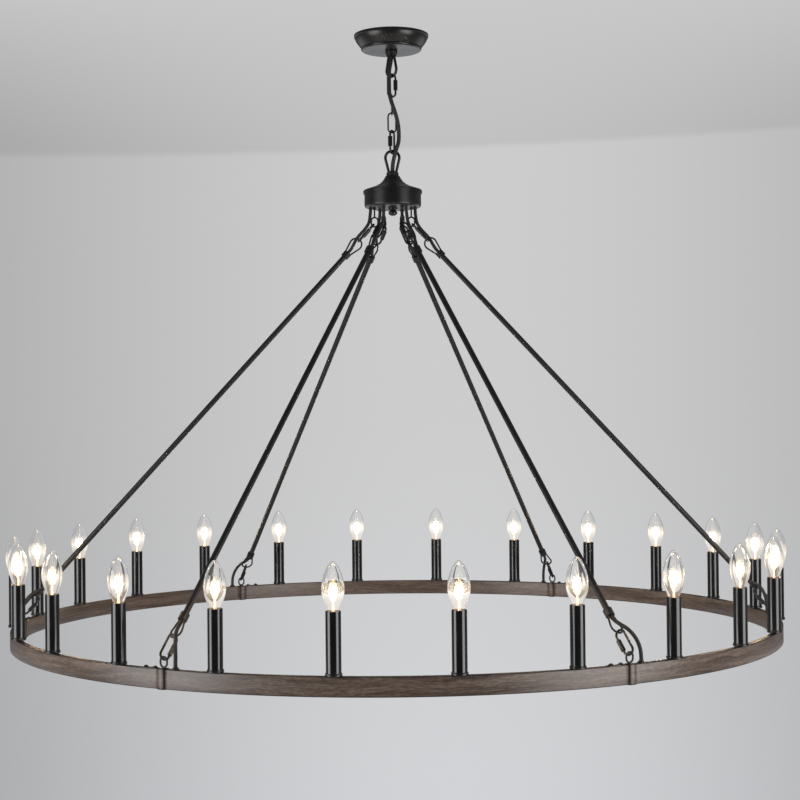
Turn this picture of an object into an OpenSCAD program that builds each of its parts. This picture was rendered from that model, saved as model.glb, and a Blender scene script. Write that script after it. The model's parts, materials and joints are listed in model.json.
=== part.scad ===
// Wagon wheel chandelier: a wood-grain steel ring with candle lights, hung by straight rods
// from a small hub, which hangs by a short chain from a ceiling canopy.
// Millimetres. Origin: centre of the crossbar's ceiling face. +Z up, the camera side is -Y.

/* [Wheel] */
// Radius of the ring's middle line, where the candles stand
ring_r = 749; // [600:1:900]
// Radial width of the ring's rectangular tube
ring_w = 13; // [12:0.5:30]
// Height of the ring's rectangular tube
ring_h = 32; // [24:1:60]
// Wall of the ring's tube
ring_wall = 1.2; // [0.8:0.1:1.4]
// Number of rods, and of the ring's segments and joints
rod_count = 6; // [3:1:8]
// Number of candle lights on the whole ring
light_count = 24; // [12:12:24]
// Gap between two segments at a joint
segment_gap = 1; // [0.4:0.1:2]
// Length of the band over each joint, along the ring
band_len = 15; // [10:1:24]
// How far the band stands out from the ring
band_wall = 1; // [1:0.1:3]
// Width of the seam down the middle of the band
seam_w = 2.4; // [1:0.1:4]
// Depth of that seam
seam_depth = 0.4; // [0.2:0.1:0.6]

/* [Joint hardware] */
// Wire of the eye on each joint
eye_wire = 3.3; // [2:0.1:3.5]
// Outer width of the eye
eye_w = 16.5; // [15.5:0.5:20]
// Outer height of the eye
eye_h = 20; // [18:0.5:28]
// Diameter of the screw heads beside each joint
screw_head_d = 9.4; // [6:0.1:11]
// Height of the screw heads
screw_head_h = 3.4; // [2:0.1:4.5]
// Diameter of the screw shanks
screw_d = 3.6; // [3:0.1:4.5]
// Length of the screw shanks under the plate
screw_len = 9; // [6:0.5:14]
// Distance of the first screw from the joint, along the ring
screw_near = 18; // [15:0.5:24]
// Distance of the second screw from the joint
screw_far = 37; // [32:0.5:45]
// Thickness of the plate under the two screws
plate_t = 0.8; // [0.5:0.1:1.5]
// Distance of the cable gland from the joint, on the other side
gland_along = 23.5; // [21:0.5:28]
// Diameter of the gland's flared foot
gland_foot_d = 14; // [12:0.5:18]
// Diameter of the gland's neck
gland_neck_d = 9.4; // [9:0.1:12]
// Height of the gland above the ring
gland_h = 4; // [3:0.5:9]

/* [Candles and bulbs] */
// Outer diameter of the candle sleeve
sleeve_d = 24.4; // [22.4:0.1:28]
// Wall of the candle sleeve
sleeve_wall = 1.2; // [0.8:0.1:1.6]
// Height of the sleeve's top above the ring
sleeve_top = 101; // [95:1:130]
// Wall of the foot cup round the sleeve
cup_wall = 1.4; // [1:0.1:3]
// Height of the foot cup
cup_h = 5; // [4:0.5:10]
// Thickness of the cup's floor
cup_floor = 1.5; // [1:0.1:2.5]
// Diameter of the threaded nipple under the lamp holder
holder_nipple_d = 9.6; // [8:0.1:9.9]
// Outer diameter of the lamp holder
holder_d = 19; // [17:0.5:20]
// Length of the lamp holder
holder_len = 20; // [16:1:20]
// Width of the strap that carries the lamp holder
strap_w = 9; // [6:0.5:12]
// Thickness of that strap
strap_t = 1.6; // [1:0.1:3]
// Diameter of the bulb's screw base
base_d = 12; // [11:0.1:12.4]
// Length of the bulb's screw base
base_len = 18; // [15:0.5:20]
// How far the glass starts under the sleeve's top
glass_sink = 9; // [6:0.5:12]
// Height of the bulb above the sleeve
bulb_h = 77; // [60:1:90]
// Greatest diameter of the bulb
bulb_d = 36.5; // [30:0.5:40]
// Height of the bulb's widest place above the sleeve
bulb_wide_h = 33; // [25:1:40]
// Diameter of the glass at its neck
glass_neck_d = 13.2; // [12.6:0.1:15]
// Wall of the bulb's glass
glass_wall = 1; // [0.6:0.1:1.4]
// Length of the glowing sticks in the bulb
stick_len = 27; // [20:1:38]

/* [Ceiling canopy] */
// Diameter of the rim against the ceiling
canopy_d = 150; // [130:1:180]
// Diameter of the flat underside
canopy_flat_d = 114; // [100:1:124]
// Depth of the canopy
canopy_h = 31.5; // [28:0.5:45]
// Height of the straight band at the rim
canopy_band_h = 4.5; // [3:0.5:6]
// Wall of the canopy
canopy_wall = 1.5; // [1:0.1:2]
// Length of the crossbar
bar_len = 108; // [104:1:116]
// Width of the crossbar
bar_w = 22; // [18:1:30]
// Thickness of the crossbar
bar_t = 2.5; // [2:0.1:4]
// Distance between the two outlet box screws
box_screw_span = 88.9; // [80:0.1:92]
// Length of each slot in the crossbar
slot_len = 16; // [8:0.5:16]
// Width of each slot
slot_w = 5; // [4:0.1:6]
// Thickness of the nut under the crossbar
lock_nut_t = 4; // [3:0.5:6]

/* [Chain and loops] */
// Outer diameter of the threaded nipple and the hub's stem
pipe_d = 13; // [12.6:0.1:14]
// Bore of the nipple and the stem, for the power cord
pipe_bore = 9; // [8.8:0.1:9.6]
// Diameter of the barrel at the root of each loop
barrel_d = 21; // [20.6:0.1:21.6]
// Diameter of the screw collars round the barrels
collar_d = 24.5; // [24.5:0.5:28]
// Height of the screw collars
collar_h = 7.5; // [5:0.5:9]
// Wire of the canopy's loop
canopy_loop_wire = 5.5; // [4.5:0.1:5.5]
// Outer width of the canopy's loop
canopy_loop_w = 33; // [30:0.5:40]
// From the canopy's underside to the loop's lowest wire centre
canopy_loop_drop = 52; // [48:0.5:60]
// Wire of the hub's loop
hub_loop_wire = 5.6; // [4.6:0.1:5.6]
// Outer width of the hub's loop
hub_loop_w = 33.6; // [30:0.2:40]
// From the hub lid's top to the loop's highest wire centre
hub_loop_rise = 50.8; // [47:0.2:60]
// Wire of the quick links
quick_wire = 4; // [3.5:0.1:4.2]
// Outer width of the quick links
quick_w = 20; // [19:0.5:24]
// Outer length of the quick links
quick_len = 50; // [46:1:60]
// Width across the flats of a quick link's sleeve nut
quick_nut_af = 7.6; // [6.6:0.1:8]
// Length of the sleeve nut
quick_nut_len = 20; // [16:0.5:22]
// Wire of the two plain chain links
chain_wire = 3.2; // [2.8:0.1:3.6]
// Outer width of the chain links
chain_w = 19; // [18:0.5:24]
// Outer length of the chain links
chain_len = 43; // [40:1:55]
// Diameter of the power cord
cord_d = 8; // [6:0.1:8.2]

/* [Hub] */
// Diameter of the hub's drum
drum_d = 114; // [110:1:130]
// Height of the drum from its rim to its underside
drum_h = 33; // [30:1:50]
// Wall of the drum and its lid
hub_wall = 1.5; // [1:0.1:2]
// Thickness of the drum's floor
drum_floor = 2.5; // [2:0.1:4]
// Radius of the drum's rounded lower edge
drum_round = 5; // [3:0.5:6]
// Height of the bell lid down to the drum's rim
lid_h = 30.9; // [28:0.1:40]
// How far the lid's rim laps over the drum
lid_lap = 5.2; // [4:0.1:8]
// How far the lid's rim stands out from the drum
lid_out = 2.25; // [2:0.05:4]
// Diameter of the bell's flat top
lid_top_d = 28; // [26:0.5:32]
// Diameter of the knob under the hub
finial_d = 18; // [17.5:0.5:24]
// Height of the knob
finial_h = 16.3; // [15:0.1:24]
// Radius at which the hooks hang
hook_r = 37; // [34:0.5:40]
// Wire of the hooks
hook_wire = 3.2; // [2.8:0.1:3.4]
// Outer width of a hook's eye
hook_w = 16.4; // [16:0.1:19]
// Outer height of a hook's eye
hook_h = 21.8; // [20:0.2:26]
// From the hub's underside to the bottom of the hooks
hook_drop = 39.5; // [37:0.5:48]

/* [Rods] */
// From the hub's underside down to the ring's top
wheel_drop = 823.5; // [600:0.5:1100]
// Outer diameter of the rods
rod_d = 10.5; // [10:0.1:12]
// Wall of the rods
rod_wall = 1.1; // [0.8:0.1:1.2]
// Diameter of the ferrule at each end of a rod
ferrule_d = 16; // [15:0.5:20]
// Length of the ferrule
ferrule_len = 13; // [12:0.5:18]
// How deep the rod sits in the ferrule
ferrule_grip = 10; // [5:0.5:10]
// Wire of the bails on the ferrules
bail_wire = 3.4; // [2.4:0.1:3.6]
// Outer width of a bail
bail_w = 27; // [25:0.5:30]
// From the ferrule to the bail's far wire centre
bail_reach = 34.1; // [32:0.1:40]
// Diameter of the cord through each rod
rod_cord_d = 6.5; // [5:0.1:6.6]

/* [Hidden] */
$fn = 48;
play = 0.3;          // between two pieces that hang in each other
fit = 0.1;           // between a screwed or slipped-on piece and its seat
metal = [0.11, 0.11, 0.11];
wood = [0.42, 0.37, 0.33];
per_rod = 360 / rod_count;
rod_names = [for (i = [0 : rod_count - 1]) str("rod_", i + 1)];
shared_nodes = ["canopy", "crossbar", "crossbar_nut", "canopy_nipple", "canopy_collar", "canopy_loop",
    "top_quick_link", "upper_chain_link", "lower_chain_link", "bottom_quick_link",
    "power_cord_1", "power_cord_2", "power_cord_3", "power_cord_4", "power_cord_5",
    "hub_loop", "hub_collar", "hub_lid", "hub_drum", "hub_stem", "hub_finial", "hub_hooks",
    "hub_hook_nuts", "hub_bushings", "wire_connectors",
    "ring_segments", "joint_bands", "joint_eyes", "joint_screws", "cable_glands",
    "candle_cups", "candle_sleeves", "lamp_holders", "bulb_bases", "bulb_glasses", "bulb_filaments"];

// Heights, from the ceiling down
canopy_floor_z = -canopy_h;
canopy_barrel_z = canopy_floor_z - collar_h - 4;
canopy_loop_z = canopy_floor_z - canopy_loop_drop;                    // lowest wire centre
function next_top(z, above, below) = z + (above + below) / 2 + play;  // wire centre of the piece hooked in
top_quick_z = next_top(canopy_loop_z, canopy_loop_wire, quick_wire);
top_quick_end = top_quick_z - quick_len + quick_wire;
upper_chain_z = next_top(top_quick_end, quick_wire, chain_wire);
upper_chain_end = upper_chain_z - chain_len + chain_wire;
lower_chain_z = next_top(upper_chain_end, chain_wire, chain_wire);
lower_chain_end = lower_chain_z - chain_len + chain_wire;
bottom_quick_z = next_top(lower_chain_end, chain_wire, quick_wire);
bottom_quick_end = bottom_quick_z - quick_len + quick_wire;
hub_loop_z = next_top(bottom_quick_end, quick_wire, hub_loop_wire);   // highest wire centre
lid_top_z = hub_loop_z - hub_loop_rise;
drum_top_z = lid_top_z - lid_h;
drum_bottom_z = drum_top_z - drum_h;
ring_top_z = drum_bottom_z - wheel_drop;

// Each piece of the chain is turned about the vertical, as it hangs in the photograph
canopy_loop_turn = -45;
top_quick_turn = 15;
upper_chain_turn = 90;
lower_chain_turn = 5;
bottom_quick_turn = 60;

// The straight line of a rod: from the centre of its hook's lower arc to the top of its ring eye
hook_rho = (hook_w - hook_wire) / 2;
hook_z = drum_bottom_z - hook_drop + hook_wire / 2 + hook_rho;
eye_rho = (eye_w - eye_wire) / 2;
eye_top_z = ring_top_z + band_wall + eye_h - eye_wire / 2;
rod_run = ring_r - hook_r;
rod_fall = hook_z - eye_top_z;
rod_line = sqrt(rod_run * rod_run + rod_fall * rod_fall);
rod_lean = atan2(rod_run, rod_fall);
// Distances along that line
upper_link_s = hook_rho - hook_wire / 2 - play - quick_wire / 2;
upper_bail_s = upper_link_s + quick_len - quick_wire - quick_wire / 2 - play - bail_wire / 2;
upper_ferrule_s = upper_bail_s + bail_reach;
lower_link_s = rod_line + eye_wire / 2 + play + quick_wire / 2;
lower_bail_s = lower_link_s - quick_len + quick_wire + quick_wire / 2 + play + bail_wire / 2;
lower_ferrule_s = lower_bail_s - bail_reach;
// Turn of each lower link and bail about the rod's line, which change sides from rod to rod
lower_link_turn = -25;
lower_bail_turn = 80;

// The power cord's route: down the nipple, through the canopy's loop, in front of the chain,
// to its right, over the hub's loop and down the stem
cord_route = [[0, 0, -6], [0, 0, -44], [-2, -3, -58], [-4.6, -7.2, -73], [-5, -9, -88],
    [-5, -10.5, -104], [-4.5, -13, -120], [-1, -14.5, -136], [4, -14, -151], [9, -10.5, -167],
    [12.5, -8, -184], [13.5, -6, -200], [12.8, -6.5, -216], [8, -8.5, -232], [4, -7, -246],
    [1, -2.5, -260], [0, 0, -272], [0, 0, -318]];
cord_breaks = [0, 4, 7, 10, 13, 17];
// A rod's cord at the hub: outward, around and upward, all from the hub's axis and its underside
drop_route = [[45, 4.5, 8], [45, 4.5, -6], [45.9, 5.2, -16], [48.8, 5.7, -31]];
// above the upper link and beside the bail: along the rod's line, around the hub, square to both
along_route = [[22.5, 5.8, 6.3], [34, 5.8, 6.3], [43, 5.7, 6.1], [51, 5.3, 5], [60, 3.9, 2.6], [70, 1.4, 0.5], [81, 0, 0]];
// out of the lower ferrule: the same, counted from the ring's eye
leave_route = [[-74, 0, 0], [-61, 1.5, 2.5], [-51, 4.5, 6], [-39, 10, 10]];
// down to the gland: outward from the ring's middle line, around, and upward from the ring's top
gland_route = [[-10, 16, 45], [-4, 20.5, 33], [-1, 23, 21], [0, 23.5, 10], [0, 23.5, -8]];
bushing_at = [drop_route[0][0], drop_route[0][1]];
bushing_d = rod_cord_d + 2;

function arc(cx, cy, r, a0, a1, n) = [for (i = [0 : n]) let (a = a0 + (a1 - a0) * i / n) [cx + r * cos(a), cy + r * sin(a)]];
function bezier(a, b, c, d, n) = [for (i = [0 : n]) let (t = i / n, u = 1 - t)
    u * u * u * a + 3 * u * u * t * b + 3 * u * t * t * c + t * t * t * d];
function unit(v) = v / norm(v);

// A straight round bar from one point to another
module bar(a, b, d) {
    v = b - a;
    translate(a) rotate([0, acos(v[2] / norm(v)), atan2(v[1], v[0])]) cylinder(h = norm(v), d = d);
}

// An arc of wire in the XZ plane, angles counted from +X towards +Z
module arc_wire(rho, wire, a0, a1) {
    rotate([90, 0, 0]) rotate([0, 0, a0]) rotate_extrude(angle = a1 - a0) translate([rho, 0]) circle(d = wire);
}

// A closed wire link with round ends, in the XZ plane about its own centre
module wire_link(len, w, wire) {
    rho = (w - wire) / 2;
    half = (len - w) / 2;
    for (s = [0, 1]) mirror([0, 0, s]) translate([0, 0, half]) arc_wire(rho, wire, 0, 180);
    for (s = [-1, 1]) translate([s * rho, 0, -half]) cylinder(h = 2 * half, d = wire);
}

// A wire that runs from two necks round a circle: neck_x to each side and neck_h above its centre.
// Its straight legs are a hair thinner than the arc and start inside it.
module pear_wire(rho, wire, neck_x, neck_h) {
    turn = atan2(neck_h, neck_x) - acos(rho / norm([neck_x, neck_h]));
    leg_wire = wire - 0.1;
    lap = 0.8;
    x = rho * cos(turn) + lap * sin(turn);
    z = rho * sin(turn) - lap * cos(turn);
    arc_wire(rho, wire, 180 - turn, 360 + turn);
    for (s = [-1, 1]) bar([s * x, 0, z], [s * neck_x, 0, neck_h], leg_wire);
}

// A quick link hung from its top wire centre: one leg has a gap, which the sleeve nut bridges
module quick_link(nut_side = 1) {
    rho = (quick_w - quick_wire) / 2;
    half = (quick_len - quick_w) / 2;
    gate = [-5, 4];
    nut_z = 1;
    translate([0, 0, -(quick_len - quick_wire) / 2]) mirror([nut_side < 0 ? 1 : 0, 0, 0]) {
        for (s = [0, 1]) mirror([0, 0, s]) translate([0, 0, half]) arc_wire(rho, quick_wire, 0, 180);
        translate([-rho, 0, -half]) cylinder(h = 2 * half, d = quick_wire);
        translate([rho, 0, -half]) cylinder(h = half + gate[0], d = quick_wire);
        translate([rho, 0, gate[1]]) cylinder(h = half - gate[1], d = quick_wire);
        translate([rho, 0, nut_z - quick_nut_len / 2]) difference() {
            cylinder(h = quick_nut_len, d = quick_nut_af / cos(30), $fn = 6);
            translate([0, 0, -1]) cylinder(h = quick_nut_len + 2, d = quick_wire + 2 * fit);
        }
    }
}

// A round tube swept along a route, with one ring at each of its points from first to last.
// The rings follow the whole route, so that two stretches of it meet face to face.
module cord_sweep(route, d, first, last, sides = 8) {
    rings = [for (i = [first : last])
        let (t = unit(route[min(i + 1, len(route) - 1)] - route[max(i - 1, 0)]),
             u = unit(cross(t, abs(t[1]) < 0.9 ? [0, 1, 0] : [1, 0, 0])),
             v = cross(t, u))
        for (k = [0 : sides - 1]) route[i] + d / 2 * (cos(360 * k / sides) * u + sin(360 * k / sides) * v)];
    walls = [for (i = [0 : last - first - 1], k = [0 : sides - 1])
        let (a = i * sides + k, b = i * sides + (k + 1) % sides)
        each [[a, a + sides, b], [b, a + sides, b + sides]]];
    ends = [[for (k = [0 : sides - 1]) k], [for (k = [sides - 1 : -1 : 0]) (last - first) * sides + k]];
    polyhedron(rings, concat(walls, ends));
}

// Children are turned to rod i, at the hub's axis
module at_rod(i) {
    rotate([0, 0, per_rod * i]) children();
}

// Children hang along rod i: local -Z runs down the rod's line from the hook's arc centre
module along_rod(i, s = 0, turn = 0) {
    at_rod(i) translate([hook_r, 0, hook_z]) rotate([0, -rod_lean, 0]) translate([0, 0, -s]) rotate([0, 0, turn]) children();
}

module at_lights() {
    for (k = [0 : light_count - 1]) rotate([0, 0, 360 * (k + 0.5) / light_count]) translate([ring_r, 0, ring_top_z]) children();
}

// ---- Ceiling ----

canopy_groove = 5;
function canopy_side(inset) = let (r = canopy_d / 2 - inset, f = canopy_flat_d / 2 - inset, z = canopy_floor_z + inset)
    concat([[r, 0], [r, -canopy_band_h]],
        bezier([r - 1.6, -canopy_band_h - 0.8], [r - 2.6, -canopy_band_h - 8], [f + 9, z + canopy_groove + 7],
            [f + 3.6, z + canopy_groove + 0.6], 8),
        arc(f, z + 4, 4, 15, -90, 6));

module canopy() {
    outer = canopy_side(0);
    inner = canopy_side(canopy_wall);
    hole = barrel_d / 2 + 2 * fit;
    color(metal) rotate_extrude($fn = 96)
        polygon(concat(outer, [[hole, canopy_floor_z], [hole, canopy_floor_z + canopy_wall]],
            [for (i = [len(inner) - 1 : -1 : 0]) inner[i]]));
}

module slot_2d() {
    square([slot_len - slot_w, slot_w], center = true);
    for (s = [-1, 1]) translate([s * (slot_len - slot_w) / 2, 0]) circle(d = slot_w);
}

module crossbar() {
    color("silver") translate([0, 0, -bar_t]) linear_extrude(bar_t) difference() {
        square([bar_len, bar_w], center = true);
        circle(d = pipe_d + 2 * fit);
        for (s = [-1, 1]) translate([s * box_screw_span / 2, 0]) slot_2d();
    }
}

module hex_ring(across, bore, h) {
    difference() {
        cylinder(h = h, d = across / cos(30), $fn = 6);
        translate([0, 0, -1]) cylinder(h = h + 2, d = bore);
    }
}

module crossbar_nut() {
    color("silver") translate([0, 0, -bar_t - lock_nut_t]) hex_ring(pipe_d + 6, pipe_d + 2 * fit, lock_nut_t);
}

module tube(d, bore, h) {
    difference() {
        cylinder(h = h, d = d);
        translate([0, 0, -1]) cylinder(h = h + 2, d = bore);
    }
}

nipple_end_z = canopy_barrel_z + 5;
module canopy_nipple() {
    color("silver") translate([0, 0, nipple_end_z]) tube(pipe_d, pipe_bore, -nipple_end_z - 1);
}

// A knurled screw collar, its top at z = 0
module screw_collar(bore) {
    flutes = 24;
    translate([0, 0, -collar_h]) difference() {
        rotate_extrude() polygon([[bore / 2, 0], [collar_d / 2 - 1, 0], [collar_d / 2, 1], [collar_d / 2, collar_h - 1],
            [collar_d / 2 - 1, collar_h], [bore / 2, collar_h]]);
        for (k = [0 : flutes - 1]) rotate([0, 0, 360 * k / flutes]) translate([collar_d / 2 + 0.35, 0, 1.5])
            cylinder(h = collar_h - 3, d = 1.4, $fn = 16);
    }
}

module canopy_collar() {
    color(metal) translate([0, 0, canopy_floor_z]) screw_collar(barrel_d + 2 * fit);
}

// A loop on its barrel, drawn with the barrel's outer end at z = 0 and the loop below it
module barrel_loop(wire, w, rise, barrel_len, socket_len) {
    rho = (w - wire) / 2;
    neck_x = (barrel_d - wire) / 2 - 0.15;
    difference() {
        union() {
            cylinder(h = barrel_len, d = barrel_d);
            translate([0, 0, -rise + rho]) pear_wire(rho, wire, neck_x, rise - rho + 1);
        }
        translate([0, 0, -1]) cylinder(h = barrel_len + 2, d = pipe_bore);
        translate([0, 0, barrel_len - socket_len]) cylinder(h = socket_len + 1, d = pipe_d + 2 * fit);
    }
}

module canopy_loop() {
    top_z = canopy_floor_z + canopy_wall + 0.5;
    color(metal) translate([0, 0, canopy_barrel_z]) rotate([0, 0, canopy_loop_turn])
        barrel_loop(canopy_loop_wire, canopy_loop_w, canopy_barrel_z - canopy_loop_z, top_z - canopy_barrel_z,
            top_z - nipple_end_z + fit);
}

// ---- Chain ----

module top_quick_link() {
    color(metal) translate([0, 0, top_quick_z]) rotate([0, 0, top_quick_turn]) quick_link();
}

module chain_link(z, turn) {
    color(metal) translate([0, 0, z - (chain_len - chain_wire) / 2]) rotate([0, 0, turn]) wire_link(chain_len, chain_w, chain_wire);
}

module upper_chain_link() {
    chain_link(upper_chain_z, upper_chain_turn);
}

module lower_chain_link() {
    chain_link(lower_chain_z, lower_chain_turn);
}

module bottom_quick_link() {
    color(metal) translate([0, 0, bottom_quick_z]) rotate([0, 0, bottom_quick_turn]) quick_link(-1);
}

// One stretch of the power cord, which lies along one piece of the chain
module power_cord(n) {
    color("black") cord_sweep(cord_route, cord_d, cord_breaks[n - 1], cord_breaks[n]);
}

// ---- Hub ----

hub_barrel_len = 9.6;
stem_top_z = lid_top_z + 5;
stem_end_z = drum_bottom_z - 3.8;

module hub_loop() {
    top = lid_top_z + hub_barrel_len;
    color(metal) translate([0, 0, top]) mirror([0, 0, 1])
        barrel_loop(hub_loop_wire, hub_loop_w, hub_loop_z - top, hub_barrel_len, stem_top_z - lid_top_z + fit);
}

module hub_collar() {
    color(metal) translate([0, 0, lid_top_z + collar_h]) screw_collar(barrel_d + 2 * fit);
}

lid_flare_r = 36;
function bell_side(inset) = let (t = lid_top_d / 2 - inset, f = lid_flare_r - inset, z = lid_top_z - inset,
        flat = drum_top_z + 10 - inset, rim = drum_d / 2 + lid_out - inset)
    concat([[t, z]], bezier([t + 0.8, z - 1.2], [t + 6, z - 12], [f - 10, flat + 4.5], [f, flat], 8),
        [[rim - 2, drum_top_z + 2.6 - inset], [rim, drum_top_z + 0.8 - inset]]);

module hub_lid() {
    outer = bell_side(0);
    inner = bell_side(hub_wall);
    inner_r = drum_d / 2 + play;
    bore = pipe_d / 2 + fit;
    last = len(inner) - 3;
    color(metal) rotate_extrude($fn = 96)
        polygon(concat([[bore, lid_top_z]], outer, [[drum_d / 2 + lid_out, drum_top_z - lid_lap], [inner_r, drum_top_z - lid_lap],
            [inner_r, drum_top_z], [drum_d / 2 - 3, drum_top_z]], [for (i = [last : -1 : 0]) inner[i]], [[bore, lid_top_z - hub_wall]]));
}

module hub_drum() {
    r = drum_d / 2;
    inner_round = drum_round - hub_wall;
    color(metal) difference() {
        translate([0, 0, drum_bottom_z]) rotate_extrude($fn = 96)
            polygon(concat([[0, 0]], arc(r - drum_round, drum_round, drum_round, -90, 0, 6), [[r, drum_h], [r - hub_wall, drum_h]],
                arc(r - hub_wall - inner_round, drum_floor + inner_round, inner_round, 0, -90, 6), [[0, drum_floor]]));
        translate([0, 0, drum_bottom_z - 1]) {
            cylinder(h = drum_floor + 2, d = pipe_d + 2 * fit);
            for (i = [0 : rod_count - 1]) at_rod(i) {
                translate([hook_r, 0, 0]) cylinder(h = drum_floor + 2, d = hook_wire + 2 * fit);
                translate([bushing_at[0], bushing_at[1], 0]) cylinder(h = drum_floor + 2, d = bushing_d + 2 * fit);
            }
        }
    }
}

module hub_stem() {
    window_z = drum_bottom_z + 12;
    color("silver") difference() {
        translate([0, 0, stem_end_z]) tube(pipe_d, pipe_bore, stem_top_z - stem_end_z);
        translate([0, -3.5, window_z]) cube([pipe_d, 7, 14]);
    }
}

module hub_finial() {
    r = finial_d / 2;
    ball_z = -finial_h + 6;
    color(metal) translate([0, 0, drum_bottom_z]) difference() {
        rotate_extrude() polygon(concat([[0, 0], [r, 0], [r, -3.4], [r - 1, -4.4], [5.4, -5.2]],
            [for (a = [40 : -13 : -77]) [r * cos(a), ball_z + 6 * sin(a)]], [[0, -finial_h]]));
        translate([0, 0, stem_end_z - drum_bottom_z - fit]) cylinder(h = 10, d = pipe_d + 2 * fit);
    }
}

hook_nut_t = 3.2;
module hub_hooks() {
    centre = (hook_h - hook_w) / 2;
    color(metal) for (i = [0 : rod_count - 1]) at_rod(i) translate([hook_r, 0, hook_z + centre]) {
        wire_link(hook_h, hook_w, hook_wire);
        shank = drum_bottom_z + drum_floor + hook_nut_t + 2 - hook_z - centre;
        start = hook_h / 2 - hook_wire / 2;
        translate([0, 0, start]) cylinder(h = shank - start, d = hook_wire);
        translate([0, 0, drum_bottom_z - 4 - hook_z - centre]) cylinder(h = 4, d = hook_wire + 3.6);
    }
}

module hub_hook_nuts() {
    color("silver") for (i = [0 : rod_count - 1]) at_rod(i) translate([hook_r, 0, drum_bottom_z + drum_floor])
        hex_ring(hook_wire + 3.8, hook_wire + 2 * fit, hook_nut_t);
}

module hub_bushings() {
    flange = 1.5;
    color("black") for (i = [0 : rod_count - 1]) at_rod(i)
        translate([bushing_at[0], bushing_at[1], drum_bottom_z - flange]) difference() {
            union() {
                cylinder(h = flange, d1 = bushing_d + 0.8, d2 = bushing_d + 1.6);
                cylinder(h = flange + drum_floor + 1, d = bushing_d);
            }
            translate([0, 0, -1]) cylinder(h = flange + drum_floor + 3, d = rod_cord_d + 2 * fit);
        }
}

module wire_connectors() {
    color("orange") for (a = [90, 270]) rotate([0, 0, a]) translate([23, 0, drum_bottom_z + drum_floor])
        difference() {
            cylinder(h = 22, d1 = 14, d2 = 9);
            translate([0, 0, -1]) cylinder(h = 17, d = 6.4);
        }
}

// ---- Rods ----

module rod_tube(i) {
    top = upper_ferrule_s + ferrule_len - ferrule_grip;
    end = lower_ferrule_s - ferrule_len + ferrule_grip;
    color(metal) along_rod(i, end) tube(rod_d, rod_d - 2 * rod_wall, end - top);
}

// A ferrule with its bail, the ferrule's mouth at z = 0 and the bail below it
module ferrule_bail() {
    rho = (bail_w - bail_wire) / 2;
    difference() {
        union() {
            cylinder(h = ferrule_len, d = ferrule_d);
            translate([0, 0, rho - bail_reach]) pear_wire(rho, bail_wire, (ferrule_d - bail_wire) / 2 - 0.15, bail_reach - rho + 1);
        }
        translate([0, 0, -1]) cylinder(h = ferrule_len, d = rod_d - 2 * rod_wall);
        translate([0, 0, ferrule_len - ferrule_grip]) cylinder(h = ferrule_grip + 1, d = rod_d + 2 * fit);
    }
}

function alternate(i) = i % 2 == 0 ? 1 : -1;

module rod_bails(i) {
    color(metal) {
        along_rod(i, upper_ferrule_s) mirror([0, 0, 1]) ferrule_bail();
        along_rod(i, lower_ferrule_s, alternate(i) * lower_bail_turn) ferrule_bail();
    }
}

module rod_quick_links(i) {
    color(metal) {
        along_rod(i, upper_link_s, 90) quick_link(-1);
        along_rod(i, lower_link_s, alternate(i) * lower_link_turn) mirror([0, 0, 1]) quick_link(-1);
    }
}

// A point given along the rod's line, around the hub and square to both
function rod_point(p) = [hook_r + p[0] * sin(rod_lean) + p[2] * cos(rod_lean), p[1], hook_z - p[0] * cos(rod_lean) + p[2] * sin(rod_lean)];

module rod_cord(i) {
    route = concat([for (p = drop_route) p + [0, 0, drum_bottom_z]], [for (p = along_route) rod_point(p)],
        [for (p = leave_route) rod_point(p + [rod_line, 0, 0])], [for (p = gland_route) p + [ring_r, 0, ring_top_z]]);
    color("black") at_rod(i) cord_sweep(route, rod_cord_d, 0, len(route) - 1);
}

// ---- Wheel ----

module ring_segments() {
    gap_a = segment_gap / ring_r * 90 / PI;
    gland_hole = gland_neck_d;
    color(wood) difference() {
        for (i = [0 : rod_count - 1]) rotate([0, 0, per_rod * i + gap_a])
            rotate_extrude(angle = per_rod - 2 * gap_a, $fn = 180) translate([ring_r - ring_w / 2, ring_top_z - ring_h]) difference() {
                square([ring_w, ring_h]);
                translate([ring_wall, ring_wall]) square([ring_w - 2 * ring_wall, ring_h - 2 * ring_wall]);
            }
        at_lights() translate([0, 0, -ring_wall - 1]) cylinder(h = ring_wall + 2, d = holder_nipple_d + 2 * fit);
        for (i = [0 : rod_count - 1]) at_rod(i) {
            translate([ring_r, 0, ring_top_z - ring_wall - 1]) cylinder(h = ring_wall + 2, d = eye_wire + 2 * fit);
            translate([ring_r, gland_along, ring_top_z - ring_wall - 1]) cylinder(h = ring_wall + 2, d = gland_hole + 2 * fit);
            for (a = [screw_near, screw_far]) along_ring(-a) translate([0, 0, -ring_wall - 1]) cylinder(h = ring_wall + 2, d = screw_d + 2 * fit);
        }
    }
}

// Children sit on the ring's top, the given way round from a joint
module along_ring(distance) {
    rotate([0, 0, distance / ring_r * 180 / PI]) translate([ring_r, 0, ring_top_z]) children();
}

// A band round each joint, with a seam down the middle of its faces
module joint_bands() {
    out = [ring_w + 2 * band_wall, band_len, ring_h + 2 * band_wall];
    hole = [ring_w + 2 * play, band_len + 2, ring_h + 2 * play];
    color(wood) for (i = [0 : rod_count - 1]) at_rod(i) translate([ring_r, 0, ring_top_z - ring_h / 2]) difference() {
        cube(out, center = true);
        cube(hole, center = true);
        difference() {
            cube([out[0] + 1, seam_w, out[2] + 1], center = true);
            cube([out[0] - 2 * seam_depth, seam_w + 1, out[2] - 2 * seam_depth], center = true);
        }
        cylinder(h = out[2], d = eye_wire + 2 * fit);
    }
}

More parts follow.
